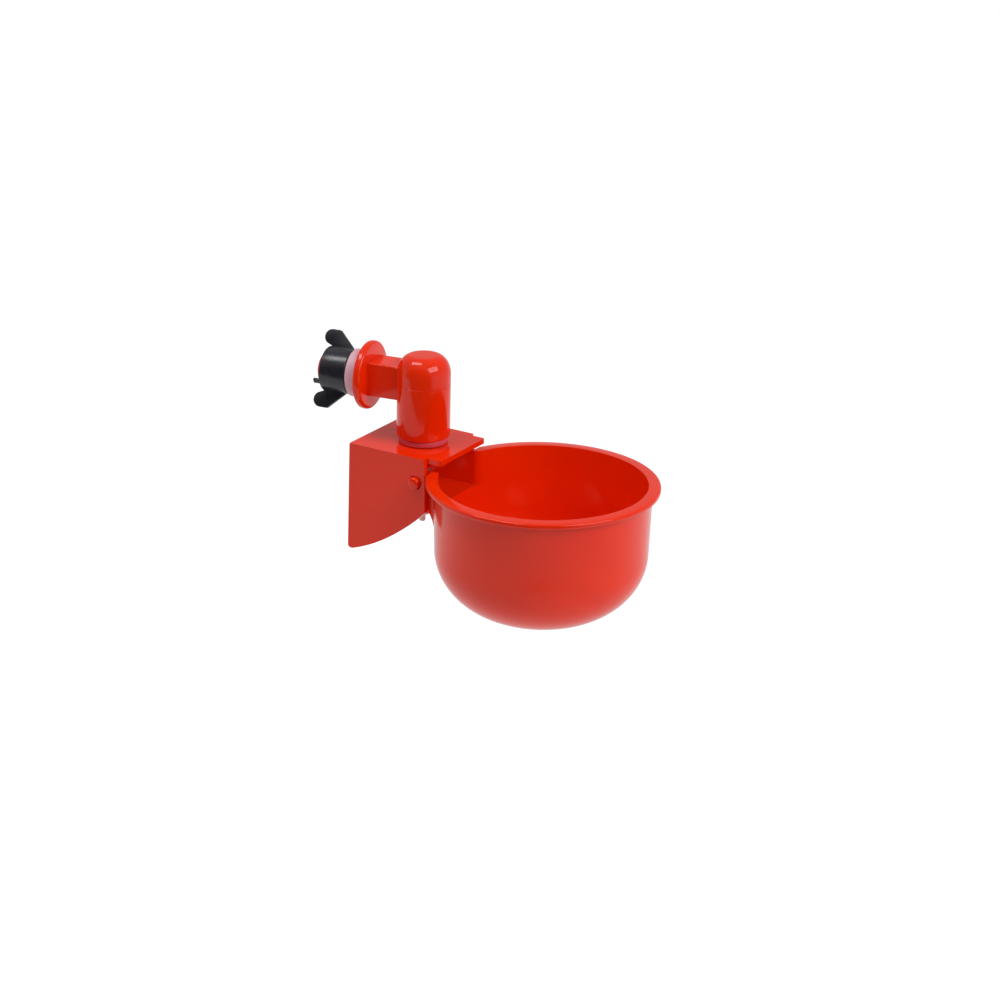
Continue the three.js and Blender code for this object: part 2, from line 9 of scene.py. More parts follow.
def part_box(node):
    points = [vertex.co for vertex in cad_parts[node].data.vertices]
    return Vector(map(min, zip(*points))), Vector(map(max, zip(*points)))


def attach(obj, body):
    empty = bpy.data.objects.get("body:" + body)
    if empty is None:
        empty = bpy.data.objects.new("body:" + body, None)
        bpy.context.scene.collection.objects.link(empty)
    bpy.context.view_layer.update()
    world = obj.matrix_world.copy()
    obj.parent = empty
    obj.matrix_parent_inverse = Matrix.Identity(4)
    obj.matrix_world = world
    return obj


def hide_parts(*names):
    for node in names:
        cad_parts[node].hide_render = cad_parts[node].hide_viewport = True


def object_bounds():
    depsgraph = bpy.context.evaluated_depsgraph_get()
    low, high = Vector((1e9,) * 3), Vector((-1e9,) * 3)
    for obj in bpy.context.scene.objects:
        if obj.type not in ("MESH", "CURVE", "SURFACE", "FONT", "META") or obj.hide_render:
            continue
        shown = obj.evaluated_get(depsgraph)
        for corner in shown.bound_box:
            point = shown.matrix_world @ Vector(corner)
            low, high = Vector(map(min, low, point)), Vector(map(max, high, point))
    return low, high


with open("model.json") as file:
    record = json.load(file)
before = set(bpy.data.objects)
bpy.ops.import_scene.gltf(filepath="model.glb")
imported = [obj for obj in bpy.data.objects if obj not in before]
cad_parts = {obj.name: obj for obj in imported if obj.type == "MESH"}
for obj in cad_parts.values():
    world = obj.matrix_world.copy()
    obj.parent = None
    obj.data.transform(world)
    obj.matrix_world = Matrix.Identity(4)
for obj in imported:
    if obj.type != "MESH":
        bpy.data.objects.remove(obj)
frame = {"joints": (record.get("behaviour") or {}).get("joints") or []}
cad_low, cad_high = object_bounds()

# Wall-mounted drinking cup for poultry. Dimensions are in millimetres; MM turns them into metres.
MM = 0.001
FULL_TURN = 2 * math.pi


def mm_box(node):
    low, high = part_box(node)
    return low / MM, high / MM


# ---------------------------------------------------------------- places taken from the frame
elbow_high = mm_box("elbow_housing")[1]
washer_low, washer_high = mm_box("base_washer")
gasket_high = mm_box("wall_gasket")[1]
nut_low = mm_box("wing_nut")[0]
stem_low, stem_high = mm_box("valve_stem")
cup_low = mm_box("cup")[0]

GAP = 0.3                                        # running clearance between pieces
AXIS_Y = (washer_low.y + washer_high.y) / 2      # valve tube axis, in front of the wall
PLATE_TOP = washer_low.z - GAP / 2               # top face of the bracket's plate
ARM_Z = -PLATE_TOP                               # spigot axis above the plate
VALVE = Vector((0, AXIS_Y, PLATE_TOP))

joints = {joint["name"]: joint for joint in frame["joints"]}
tilt_axis = joints["cup_tilt"]["axis"]
HANGER_TURN = math.atan2(tilt_axis[1], tilt_axis[0])

# Elbow housing, heights above the plate
DOME_TOP = 35.3
DOME_FLAT = 4.9
DOME_SHOULDER = 7.5
TUBE_R = 10.5
TUBE_WALL = 1.8
TUBE_BOTTOM = 2.8
ARM_WIDTH = 12.2
ARM_HEIGHT = 13.4
ARM_EDGE = 0.4
SEAM = 0.12                                      # half width and depth of the tube's parting line
ARM_SEAM = 0.05
FLANGE_R = elbow_high.x
FLANGE_T = 3.2
FLANGE_EDGE = 1.1
SPIGOT_END = elbow_high.y
SPIGOT_R = 6.6
BORE_R = 4.2
THREAD_DEPTH = 0.75
THREAD_PITCH = 2.0
TAIL_R = 7.0
TAIL_BORE = 5.0
TAIL_END = -9.5
SEAT_LOW = 6.8
SEAT_T = 3.0
SEAT_BORE = 1.5
SEAL_LOW = 7.8
SEAL_T = 1.3
SEAL_DEPTH = 1.0
THROAT_R = 3.4
CHAMBER_FLOOR = 12.0

# Clamping pieces on the spigot
GASKET_R = gasket_high.x
GASKET_T = gasket_high.y
NUT_START = nut_low.y
NUT_R = 8.9
NUT_LENGTH = 11.0
WING_T = 1.7
WING_TURN = math.radians(25)
LOBE_R = 3.05
LOBE_ALONG = 11.5
LOBE_OUT = 12.5
WING_FOOT = 1.3
WING_TOP = 8.2
LUG_TURN = math.radians(-139)
LUG_PROUD = 2.9

# Valve pieces, heights above the plate
WASHER_R = washer_high.x
STEM_R = 1.25
STEM_END = stem_low.z - PLATE_TOP
STEM_TOP = stem_high.z - PLATE_TOP
SHOULDER_LOW = -18.8
SHOULDER_T = 1.7
SHOULDER_R = 3.6
PAD_TOP = 5.43
PAD_T = 1.43
SPRING_R = 3.0
SPRING_WIRE = 0.35
SPRING_TURNS = 5
LEVEL_NUT_ACROSS = 6
LEVEL_NUT_T = 2.8
TAIL_NUT_ACROSS = 19
TAIL_NUT_T = 4.5
GUIDE_RIM_T = 4.0
GUIDE_HUB_T = 3.2
GUIDE_SPOKE_T = 2.4

# Bracket
PLATE_T = 2.1
PLATE_BACK = 22.4
PLATE_FRONT = 11.7
PLATE_SIDE = 17.6
TONGUE_FRONT = 18.3
CHEEK_OUT = 18.2
CHEEK_IN = 16.1
CHEEK_FOOT = -43.9
CHEEK_BEND = (4.6, -38.6)                        # control point of the quarter-round edge
CHEEK_NOSE = (-12.5, -21.9)                      # front end of that edge
PIVOT = Vector((0, -7.9, -10.2))
PEG_R = 2.5

# Cup
CUP_Y = -54.34
RIM_R = 44.95
RIM_TOP = -5.3
RIM_T = 2.1
WALL = 1.6
WALL_R = 41.9
WALL_DRAFT = 0.024
WALL_END = -32.9
BOWL_CORNER = 30.7
BOWL_BOTTOM = cup_low.z - PLATE_TOP
RIM_BACK = -14.3
CHUTE_OUT = 15.8
CHUTE_IN = 14.0
CHUTE_BACK = 7.0
CHUTE_FLOOR = -19.3
CHUTE_FLOOR_T = 1.8
JAMB_BACK = -14.4
JAMB_OUT = 17.2
JAMB_FRONT = -18.4
FIN_T = 1.8
FIN_FOOT = -31.3
GUSSET_T = 1.6
GUSSET_OFF = 8.0                                 # from the chute's middle plane
GUSSET_FOOT = -33.0
REACH = -20.0                                    # how far the chute's pieces run into the bowl's wall
BEYOND = 60.0                                    # half size of a cutting block

CAMERA_AZIMUTH = math.radians(68.31)             # from -Y towards -X
CAMERA_ELEVATION = math.radians(21.22)
CAMERA_ROLL = math.radians(1.33)
CAMERA_RIGHT = 29.99                             # camera's place from the valve, along its own axes
CAMERA_UP = -23.14
CAMERA_BACK = 937.38
FLOOR_SIZE = 8.0                                 # metres
FLOOR_FRONT = 0.25                               # how far the floor comes forward of the part, metres
FLOOR_DROP = 60.0                                # floor below the part's lowest point
PANE_OFF = 0.185                                 # each window pane from the middle, metres


# ---------------------------------------------------------------- modelling helpers
def deselect():
    if bpy.context.object and bpy.context.object.mode != "OBJECT":
        bpy.ops.object.mode_set(mode="OBJECT")
    bpy.ops.object.select_all(action="DESELECT")


def only(obj):
    deselect()
    obj.select_set(True)
    bpy.context.view_layer.objects.active = obj


def pick(obj, test):
    """In edit mode, select only the vertices whose place in millimetres passes the test."""
    bpy.ops.mesh.select_all(action="DESELECT")
    mesh = bmesh.from_edit_mesh(obj.data)
    for vert in mesh.verts:
        vert.select = test(vert.co / MM)
    mesh.select_flush_mode()
    bmesh.update_edit_mesh(obj.data)


def across_z(a, b):
    return Vector((a, b, 0))


def across_x(a, b):
    return Vector((0, a, b))


def across_y(a, b):
    return Vector((a, 0, b))


def chain(name, points, to_space, closed):
    """Edges drawn point to point; a third number in a point rounds that corner to that radius."""
    deselect()
    places = [to_space(*point[:2]) for point in points]
    bpy.ops.mesh.primitive_plane_add(size=MM, location=places[0] * MM)
    obj = bpy.context.object
    obj.name = name
    bpy.ops.object.transform_apply(location=True, rotation=False, scale=False)
    bpy.ops.object.mode_set(mode="EDIT")
    bpy.ops.mesh.select_mode(type="VERT")
    bpy.ops.mesh.select_all(action="SELECT")
    bpy.ops.mesh.merge(type="CENTER")
    for before, after in zip(places, places[1:]):
        bpy.ops.mesh.extrude_vertices_move(TRANSFORM_OT_translate={"value": (after - before) * MM})
    if closed:
        ends = (places[0], places[-1])
        pick(obj, lambda co: any((co - end).length < 1e-3 for end in ends))
        bpy.ops.mesh.edge_face_add()
    for i, point in enumerate(points):
        if len(point) < 3:
            continue
        here = places[i]
        one = places[i - 1] - here
        other = places[(i + 1) % len(places)] - here
        reach = point[2] / math.tan(one.angle(other) / 2)
        pick(obj, lambda co: (co - here).length < 1e-3)
        bpy.ops.mesh.bevel(offset=reach * MM, segments=max(3, round(2 * point[2])), profile=0.5,
                           affect="VERTICES", clamp_overlap=False)
    bpy.ops.mesh.select_all(action="SELECT")
    return obj


def tidy_faces():
    bpy.ops.mesh.select_all(action="SELECT")
    bpy.ops.mesh.remove_doubles(threshold=1e-6)
    bpy.ops.mesh.normals_make_consistent(inside=False)
    bpy.ops.object.mode_set(mode="OBJECT")


def turned(name, points, about="Z", steps=96, closed=False):
    """Profile of (radius, height) points spun round an axis through the origin."""
    to_space = across_y if about == "Z" else across_z
    axis = (0, 0, 1) if about == "Z" else (0, 1, 0)
    obj = chain(name, points, to_space, closed)
    bpy.ops.mesh.spin(steps=steps, angle=FULL_TURN, center=(0, 0, 0), axis=axis)
    tidy_faces()
    return obj


def plate(name, outline, to_space, start, thickness):
    """Flat outline filled, then extruded from start by a thickness along the plane's normal."""
    obj = chain(name, outline, to_space, True)
    bpy.ops.mesh.edge_face_add()
    normal = to_space(1, 0).cross(to_space(0, 1))
    bpy.ops.transform.translate(value=normal * start * MM)
    bpy.ops.mesh.extrude_region_move(TRANSFORM_OT_translate={"value": normal * thickness * MM})
    tidy_faces()
    return obj


def block(name, low, high):
    deselect()
    low, high = Vector(low), Vector(high)
    bpy.ops.mesh.primitive_cube_add(size=1, location=(low + high) / 2 * MM, scale=(high - low) * MM)
    bpy.ops.object.transform_apply(location=True, rotation=True, scale=True)
    bpy.context.object.name = name
    return bpy.context.object


def rod(name, radius, low, high, about="Z", at=(0, 0, 0), sides=64):
    deselect()
    middle = (low + high) / 2
    centre = {"X": Vector((middle, 0, 0)), "Y": Vector((0, middle, 0)), "Z": Vector((0, 0, middle))}[about]
    turn = {"X": (0, math.pi / 2, 0), "Y": (math.pi / 2, 0, 0), "Z": (0, 0, 0)}[about]
    bpy.ops.mesh.primitive_cylinder_add(vertices=sides, radius=radius * MM, depth=(high - low) * MM,
                                        location=(centre + Vector(at)) * MM, rotation=turn)
    bpy.ops.object.transform_apply(location=True, rotation=True, scale=True)
    bpy.context.object.name = name
    return bpy.context.object


def combine(obj, tools, operation):
    """Boolean with each tool in turn; the tools are used up."""
    for tool in tools:
        only(obj)
        bpy.ops.object.modifier_add(type="BOOLEAN")
        modifier = obj.modifiers[-1]
        modifier.operation = operation
        modifier.solver = "EXACT"
        modifier.object = tool
        bpy.ops.object.modifier_apply(modifier=modifier.name)
        only(tool)
        bpy.ops.object.delete()
    only(obj)
    return obj


def soften(obj, width, segments=2, angle=35):
    only(obj)
    bpy.ops.object.modifier_add(type="BEVEL")
    modifier = obj.modifiers[-1]
    modifier.width = width * MM
    modifier.segments = segments
    modifier.limit_method = "ANGLE"
    modifier.angle_limit = math.radians(angle)
    modifier.use_clamp_overlap = True
    bpy.ops.object.modifier_apply(modifier=modifier.name)
    return obj


def turn_about(obj, angle, axis, centre=(0, 0, 0)):
    """Turn the whole mesh by the right-hand rule, its place kept in the mesh."""
    only(obj)
    about = Vector(centre) * MM
    spot = Matrix.Translation(about) @ Matrix.Rotation(angle, 4, axis) @ Matrix.Translation(-about)
    obj.matrix_world = spot @ obj.matrix_world
    bpy.ops.object.transform_apply(location=True, rotation=True, scale=True)
    return obj


def shift(obj, offset):
    only(obj)
    bpy.ops.transform.translate(value=Vector(offset) * MM)
    bpy.ops.object.transform_apply(location=True, rotation=False, scale=False)
    return obj


def wind(obj, about, angle, rise, rounds, steps):
    """Sweep the closed section in the mesh along a helix and leave all of it selected in edit mode."""
    bpy.ops.object.mode_set(mode="OBJECT")
    bpy.ops.object.modifier_add(type="SCREW")
    modifier = obj.modifiers[-1]
    modifier.axis = about
    modifier.angle = angle
    modifier.screw_offset = rise * MM
    modifier.iterations = rounds
    modifier.steps = steps
    modifier.render_steps = steps
    bpy.ops.object.modifier_apply(modifier=modifier.name)
    bpy.ops.object.mode_set(mode="EDIT")
    bpy.ops.mesh.select_all(action="SELECT")


def thread(name, radius, low, high, about="Z"):
    """Helical ridge of triangular section whose crest stands at the given radius."""
    to_space = across_y if about == "Z" else across_z
    half = 0.36 * THREAD_PITCH
    root = radius - THREAD_DEPTH - 0.2
    obj = chain(name, [(root, low), (radius, low + half), (root, low + 2 * half)], to_space, True)
    rounds = max(1, int((high - low - 2 * half) / THREAD_PITCH))
    wind(obj, about, FULL_TURN, THREAD_PITCH, rounds, 48)
    bpy.ops.mesh.remove_doubles(threshold=1e-7)
    bpy.ops.mesh.select_all(action="SELECT")
    bpy.ops.mesh.fill_holes(sides=4)
    bpy.ops.mesh.select_all(action="SELECT")
    bpy.ops.mesh.normals_make_consistent(inside=False)
    bpy.ops.object.mode_set(mode="OBJECT")
    return obj


def hexagon(across):
    corner = across / math.sqrt(3)
    return [(corner * math.cos(i * math.pi / 3), corner * math.sin(i * math.pi / 3)) for i in range(6)]


def hex_nut(name, across, low, high, hole):
    """Six-sided nut with its corners turned off at both ends and a straight hole through it."""
    nut = plate(name, hexagon(across), across_z, low, high - low)
    corner = across / math.sqrt(3)
    drop = 0.55 * (corner - across / 2)
    turned_blank = turned("blank", [
        (0, low), (across / 2, low), (corner + 0.1, low + drop), (corner + 0.1, high - drop),
        (across / 2, high), (0, high)])
    combine(nut, [turned_blank], "INTERSECT")
    return combine(nut, [rod("hole", hole, low - 1, high + 1)], "DIFFERENCE")


def arc(cx, cy, rx, ry, start, end, steps):
    turns = [start + (end - start) * i / steps for i in range(steps + 1)]
    return [(cx + rx * math.cos(a), cy + ry * math.sin(a)) for a in turns]


def quadratic(start, control, end, steps):
    """Points on a quadratic curve after its start."""
    start, control, end = Vector(start), Vector(control), Vector(end)
    points = []
    for i in range(1, steps + 1):
        t = i / steps
        spot = (1 - t) ** 2 * start + 2 * t * (1 - t) * control + t * t * end
        points.append((spot.x, spot.y))
    return points


def to_valve(obj):
    return shift(obj, VALVE)


def to_hanger(obj):
    turn_about(obj, HANGER_TURN, "Z")
    return shift(obj, VALVE)


def finish(obj, node, body, material, smooth=35):
    only(obj)
    obj.name = node + "_surface"
    obj.data.name = obj.name
    bpy.ops.object.shade_smooth_by_angle(angle=math.radians(smooth))
    obj.data.materials.clear()
    obj.data.materials.append(material)
    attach(obj, body)
    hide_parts(node)
    return obj


# ---------------------------------------------------------------- material groups
def new_group(name, inputs, outputs):
    group = bpy.data.node_groups.new(name, "ShaderNodeTree")
    for label, kind, value in inputs:
        socket = group.interface.new_socket(name=label, in_out="INPUT", socket_type=kind)
        socket.default_value = value
    for label, kind in outputs:
        group.interface.new_socket(name=label, in_out="OUTPUT", socket_type=kind)
    return group, group.nodes.new("NodeGroupInput"), group.nodes.new("NodeGroupOutput")


def add(tree, kind, **settings):
    node = tree.nodes.new(kind)
    for key, value in settings.items():
        setattr(node, key, value)
    return node


def moulded_skin():
    """Slow colour flow, cloudy gloss, hairline scuffs and a faint mould grain."""
    group, given, out = new_group("moulded_skin", [
        ("Colour", "NodeSocketColor", (1, 1, 1, 1)),
        ("Deep colour", "NodeSocketColor", (0, 0, 0, 1)),
        ("Flow size", "NodeSocketFloat", 40.0),
        ("Smoothest", "NodeSocketFloat", 0.1),
        ("Roughest", "NodeSocketFloat", 0.3),
        ("Grain size", "NodeSocketFloat", 1500.0),
        ("Grain depth", "NodeSocketFloat", 0.05),
        ("Scuffs", "NodeSocketFloat", 0.2),
    ], [("Colour", "NodeSocketColor"), ("Roughness", "NodeSocketFloat"), ("Normal", "NodeSocketVector")])
    link = group.links.new
    place = add(group, "ShaderNodeTexCoord")
    flow = add(group, "ShaderNodeTexNoise")
    flow.inputs["Detail"].default_value = 3
    flow.inputs["Distortion"].default_value = 0.6
    link(place.outputs["Object"], flow.inputs["Vector"])
    link(given.outputs["Flow size"], flow.inputs["Scale"])
    spread = add(group, "ShaderNodeMapRange")
    spread.inputs["From Min"].default_value = 0.3
    spread.inputs["From Max"].default_value = 0.75
    link(flow.outputs["Fac"], spread.inputs["Value"])
    colour = add(group, "ShaderNodeMix", data_type="RGBA")
    link(spread.outputs["Result"], colour.inputs["Factor"])
    link(given.outputs["Colour"], colour.inputs["A"])
    link(given.outputs["Deep colour"], colour.inputs["B"])
    link(colour.outputs["Result"], out.inputs["Colour"])
    # hairline scuffs: stretched noise, kept where it peaks
    stretch = add(group, "ShaderNodeMapping")
    stretch.inputs["Scale"].default_value = (900, 120, 160)
    stretch.inputs["Rotation"].default_value = (0.4, 0.7, 0.3)
    link(place.outputs["Object"], stretch.inputs["Vector"])
    hair = add(group, "ShaderNodeTexNoise")
    hair.inputs["Scale"].default_value = 1
    hair.inputs["Detail"].default_value = 2
    link(stretch.outputs["Vector"], hair.inputs["Vector"])
    peaks = add(group, "ShaderNodeMapRange")
    peaks.inputs["From Min"].default_value = 0.62
    peaks.inputs["From Max"].default_value = 0.78
    link(hair.outputs["Fac"], peaks.inputs["Value"])
    scuff = add(group, "ShaderNodeMath", operation="MULTIPLY")
    link(peaks.outputs["Result"], scuff.inputs[0])
    link(given.outputs["Scuffs"], scuff.inputs[1])
    gloss = add(group, "ShaderNodeMapRange")
    link(flow.outputs["Fac"], gloss.inputs["Value"])
    link(given.outputs["Smoothest"], gloss.inputs["To Min"])
    link(given.outputs["Roughest"], gloss.inputs["To Max"])
    rough = add(group, "ShaderNodeMath", operation="ADD", use_clamp=True)
    link(gloss.outputs["Result"], rough.inputs[0])
    link(scuff.outputs["Value"], rough.inputs[1])
    link(rough.outputs["Value"], out.inputs["Roughness"])
    grain = add(group, "ShaderNodeTexNoise")
    grain.inputs["Detail"].default_value = 2
    link(place.outputs["Object"], grain.inputs["Vector"])
    link(given.outputs["Grain size"], grain.inputs["Scale"])
    bump = add(group, "ShaderNodeBump")
    bump.inputs["Distance"].default_value = 0.02 * MM
    link(given.outputs["Grain depth"], bump.inputs["Strength"])
    link(grain.outputs["Fac"], bump.inputs["Height"])
    link(bump.outputs["Normal"], out.inputs["Normal"])
    return group


SKIN = moulded_skin()


def skinned(name, settings, shader):
    """Material whose colour, roughness and normal come from the moulded skin group."""
    material = bpy.data.materials.new(name)
    material.use_nodes = True
    tree = material.node_tree
    surface = tree.nodes["Principled BSDF"]
    skin = add(tree, "ShaderNodeGroup", node_tree=SKIN)
    for key, value in settings.items():
        skin.inputs[key].default_value = value
    tree.links.new(skin.outputs["Colour"], surface.inputs["Base Color"])
    tree.links.new(skin.outputs["Roughness"], surface.inputs["Roughness"])
    tree.links.new(skin.outputs["Normal"], surface.inputs["Normal"])
    for key, value in shader.items():
        surface.inputs[key].default_value = value
    return material


def red_plastic():
    return skinned("red_moulded_plastic", {
        "Colour": (0.92, 0.029, 0.0006, 1), "Deep colour": (0.85, 0.022, 0.0004, 1),
        "Flow size": 28.0, "Smoothest": 0.06, "Roughest": 0.17, "Grain size": 1800.0,
        "Grain depth": 0.06, "Scuffs": 0.08,
    }, {"IOR": 1.41})


def black_plastic():
    return skinned("black_moulded_nylon", {
        "Colour": (0.012, 0.011, 0.017, 1), "Deep colour": (0.019, 0.018, 0.026, 1),
        "Flow size": 160.0, "Smoothest": 0.16, "Roughest": 0.34, "Grain size": 1400.0,
        "Grain depth": 0.35, "Scuffs": 0.2,
    }, {"IOR": 1.53})


def clear_silicone():
    return skinned("clear_silicone", {
        "Colour": (0.86, 0.53, 0.61, 1), "Deep colour": (0.78, 0.42, 0.49, 1),
        "Flow size": 120.0, "Smoothest": 0.34, "Roughest": 0.5, "Grain size": 900.0,
        "Grain depth": 0.3, "Scuffs": 0.1,
    }, {"IOR": 1.41})


def tinted_silicone():
    return skinned("tinted_silicone", {
        "Colour": (0.74, 0.085, 0.12, 1), "Deep colour": (0.62, 0.06, 0.085, 1),
        "Flow size": 120.0, "Smoothest": 0.3, "Roughest": 0.45, "Grain size": 900.0,
        "Grain depth": 0.3, "Scuffs": 0.1,
    }, {"IOR": 1.41})


def white_plastic():
    return skinned("white_acetal", {
        "Colour": (0.80, 0.78, 0.72, 1), "Deep colour": (0.72, 0.69, 0.62, 1),
        "Flow size": 200.0, "Smoothest": 0.3, "Roughest": 0.45, "Grain size": 1600.0,
        "Grain depth": 0.2, "Scuffs": 0.1,
    }, {"IOR": 1.48})


def dark_rubber():
    return skinned("dark_rubber", {
        "Colour": (0.012, 0.012, 0.013, 1), "Deep colour": (0.024, 0.023, 0.022, 1),
        "Flow size": 260.0, "Smoothest": 0.55, "Roughest": 0.75, "Grain size": 2200.0,
        "Grain depth": 0.5, "Scuffs": 0.1,
    }, {"IOR": 1.52})


def spring_steel():
    return skinned("drawn_spring_steel", {
        "Colour": (0.58, 0.59, 0.61, 1), "Deep colour": (0.48, 0.49, 0.51, 1),
        "Flow size": 500.0, "Smoothest": 0.22, "Roughest": 0.38, "Grain size": 3000.0,
        "Grain depth": 0.2, "Scuffs": 0.15,
    }, {"Metallic": 1.0})


RED = red_plastic()
BLACK = black_plastic()
CLEAR = clear_silicone()
TINTED = tinted_silicone()
WHITE = white_plastic()
RUBBER = dark_rubber()
STEEL = spring_steel()


# ---------------------------------------------------------------- elbow housing
def tube_blank():
    """Outside of the valve tube: threaded tail, straight wall with its parting line, flat-topped dome."""
    return turned("tube", [
        (0, TAIL_END),
        (TAIL_R - THREAD_DEPTH, TAIL_END, 0.4),
        (TAIL_R - THREAD_DEPTH, TUBE_BOTTOM),
        (TUBE_R, TUBE_BOTTOM, 0.5),
        (TUBE_R, ARM_Z - SEAM),
        (TUBE_R - SEAM, ARM_Z),
        (TUBE_R, ARM_Z + SEAM),
        *arc(DOME_FLAT, DOME_TOP - DOME_SHOULDER, TUBE_R - DOME_FLAT, DOME_SHOULDER, 0, math.pi / 2, 20),
        (0, DOME_TOP),
    ], steps=128)


def tube_hollow():
    inner = TUBE_R - TUBE_WALL
    flat = DOME_FLAT - 0.7
    rise = DOME_SHOULDER - 1.6
    top = DOME_TOP - TUBE_WALL
    return turned("hollow", [
        (0, TAIL_END - 1),
        (TAIL_BORE, TAIL_END - 1),
        (TAIL_BORE, SEAT_LOW + SEAT_T + GAP),
        (THROAT_R, SEAT_LOW + SEAT_T + GAP),
        (THROAT_R, CHAMBER_FLOOR),
        (inner, CHAMBER_FLOOR),
        *arc(flat, top - rise, inner - flat, rise, 0, math.pi / 2, 10),
        (0, top),
    ], steps=64)


def arm_blank():
    """Square arm with eased edges and the parting line along both sides."""
    half_w = ARM_WIDTH / 2
    half_h = ARM_HEIGHT / 2
    outline = [
        (-half_w, -half_h, ARM_EDGE), (half_w, -half_h, ARM_EDGE),
        (half_w, -ARM_SEAM), (half_w - ARM_SEAM, 0), (half_w, ARM_SEAM),
        (half_w, half_h, ARM_EDGE), (-half_w, half_h, ARM_EDGE),
        (-half_w, ARM_SEAM), (ARM_SEAM - half_w, 0), (-half_w, -ARM_SEAM),
    ]
    # the plane's normal points to -Y, so the extrusion runs from the flange towards the tube
    return plate("arm", outline, across_y, FLANGE_T / 2, -AXIS_Y - FLANGE_T / 2)


def flange_and_spigot():
    seat = GASKET_R + GAP
    root = SPIGOT_R - THREAD_DEPTH
    return turned("flange", [
        (0, -FLANGE_T),
        (FLANGE_R, -FLANGE_T, FLANGE_EDGE),
        (FLANGE_R, 0, FLANGE_EDGE),
        (seat, 0),
        (seat, -GAP),
        (SPIGOT_R, -GAP),
        (SPIGOT_R, 0.6),
        (root, 1.2),
        (root, SPIGOT_END, 0.5),
        (0, SPIGOT_END),
    ], about="Y", steps=128)


def elbow_housing():
    body = to_valve(tube_blank())
    combine(body, [arm_blank(), flange_and_spigot()], "UNION")
    combine(body, [to_valve(tube_hollow()), rod("bore", BORE_R, AXIS_Y, SPIGOT_END + 1, "Y")], "DIFFERENCE")
    spigot_thread = thread("spigot_thread", SPIGOT_R, 0.9, SPIGOT_END - 0.2, "Y")
    tail_thread = to_valve(thread("tail_thread", TAIL_R, TAIL_END + 0.3, TUBE_BOTTOM - 0.1))
    combine(body, [spigot_thread, tail_thread], "UNION")
    return finish(body, "elbow_housing", "root", RED)


# ---------------------------------------------------------------- pieces on the spigot
def wall_gasket():
    inner = SPIGOT_R + GAP
    ring = turned("gasket", [
        (inner, 0, 0.3), (GASKET_R, 0, 0.8), (GASKET_R, GASKET_T, 0.8), (inner, GASKET_T, 0.3),
    ], about="Y", closed=True)
    return finish(ring, "wall_gasket", "gasket", CLEAR)


def wing(side):
    """One wing: edge sloping out to a blunt corner, then a round lobe past the nut's free end."""
    root = NUT_R - 1.2
    foot = NUT_START + WING_FOOT
    back = NUT_START + NUT_LENGTH - 0.2
    outline = [(foot, root), (foot, NUT_R), (NUT_START + WING_TOP, LOBE_OUT + LOBE_R, 1.2)]
    outline += arc(NUT_START + LOBE_ALONG, LOBE_OUT, LOBE_R, LOBE_R, math.pi / 2, -math.pi / 3, 24)
    outline += [(back, NUT_R), (back, root)]
    blade = plate("wing", outline, across_x, -WING_T / 2, WING_T)
    soften(blade, 0.3)
    return turn_about(blade, math.pi * side, "Y")


def wing_nut():
    end = NUT_START + NUT_LENGTH
    inner = SPIGOT_R + GAP
    nut = turned("nut", [
        (inner, NUT_START), (NUT_R, NUT_START, 0.45), (NUT_R, end, 0.45), (inner, end, 0.3),
    ], about="Y", closed=True)
    lug = soften(block("lug", (-1.1, end - 2, 7.1), (1.1, end + LUG_PROUD, 8.5)), 0.6, 4)
    combine(nut, [wing(0), wing(1), turn_about(lug, LUG_TURN, "Y")], "UNION")
    turn_about(nut, WING_TURN, "Y")
    return finish(nut, "wing_nut", "wing_nut", BLACK)


# ---------------------------------------------------------------- valve pieces
def base_washer():
    inner = TAIL_R + GAP
    low = GAP / 2
    high = TUBE_BOTTOM - GAP / 2
    ring = turned("washer", [
        (inner, low), (WASHER_R, low, 0.6), (WASHER_R, high, 0.6), (inner, high),
    ], closed=True)
    return finish(to_valve(ring), "base_washer", "root", TINTED)


def valve_seat():
    outer = TAIL_BORE - GAP
    low = SEAT_LOW
    high = SEAT_LOW + SEAT_T
    ring = turned("seat", [
        (SEAT_BORE, low - 0.3), (2.1, low - 0.3), (2.6, low + 0.2), (outer, low + 0.2),
        (outer, SEAL_LOW), (outer - SEAL_DEPTH, SEAL_LOW), (outer - SEAL_DEPTH, SEAL_LOW + SEAL_T),
        (outer, SEAL_LOW + SEAL_T), (outer, high, 0.2), (2.4, high), (SEAT_BORE, high - 0.9),
    ], closed=True, steps=64)
    return finish(to_valve(ring), "valve_seat", "root", WHITE)


def seat_seal_ring():
    middle = TAIL_BORE - GAP - SEAL_DEPTH + 0.66
    ring = turned("seal", arc(middle, SEAL_LOW + SEAL_T / 2, 0.5, 0.5, 0, FULL_TURN * 15 / 16, 15),
                  closed=True, steps=64)
    return finish(to_valve(ring), "seat_seal_ring", "root", RUBBER)


def valve_stem():
    top = SHOULDER_LOW + SHOULDER_T
    head = 3.4
    stem = turned("stem", [
        (0, STEM_END), (STEM_R, STEM_END, 0.4), (STEM_R, SHOULDER_LOW), (2, SHOULDER_LOW),
        (SHOULDER_R, SHOULDER_LOW + 0.9, 0.2), (SHOULDER_R, top, 0.2), (STEM_R, top),
        (STEM_R, STEM_TOP - 2.4), (head, STEM_TOP - 1.4, 0.2), (head, STEM_TOP, 0.2), (0, STEM_TOP),
    ], steps=48)
    return finish(to_valve(stem), "valve_stem", "stem", WHITE)


def valve_pad():
    outer = 3.6
    pad = turned("pad", [
        (0, PAD_TOP - PAD_T), (outer, PAD_TOP - PAD_T, 0.3), (outer, PAD_TOP, 0.3), (0, PAD_TOP),
    ], steps=48)
    return finish(to_valve(pad), "valve_pad", "stem", RUBBER)


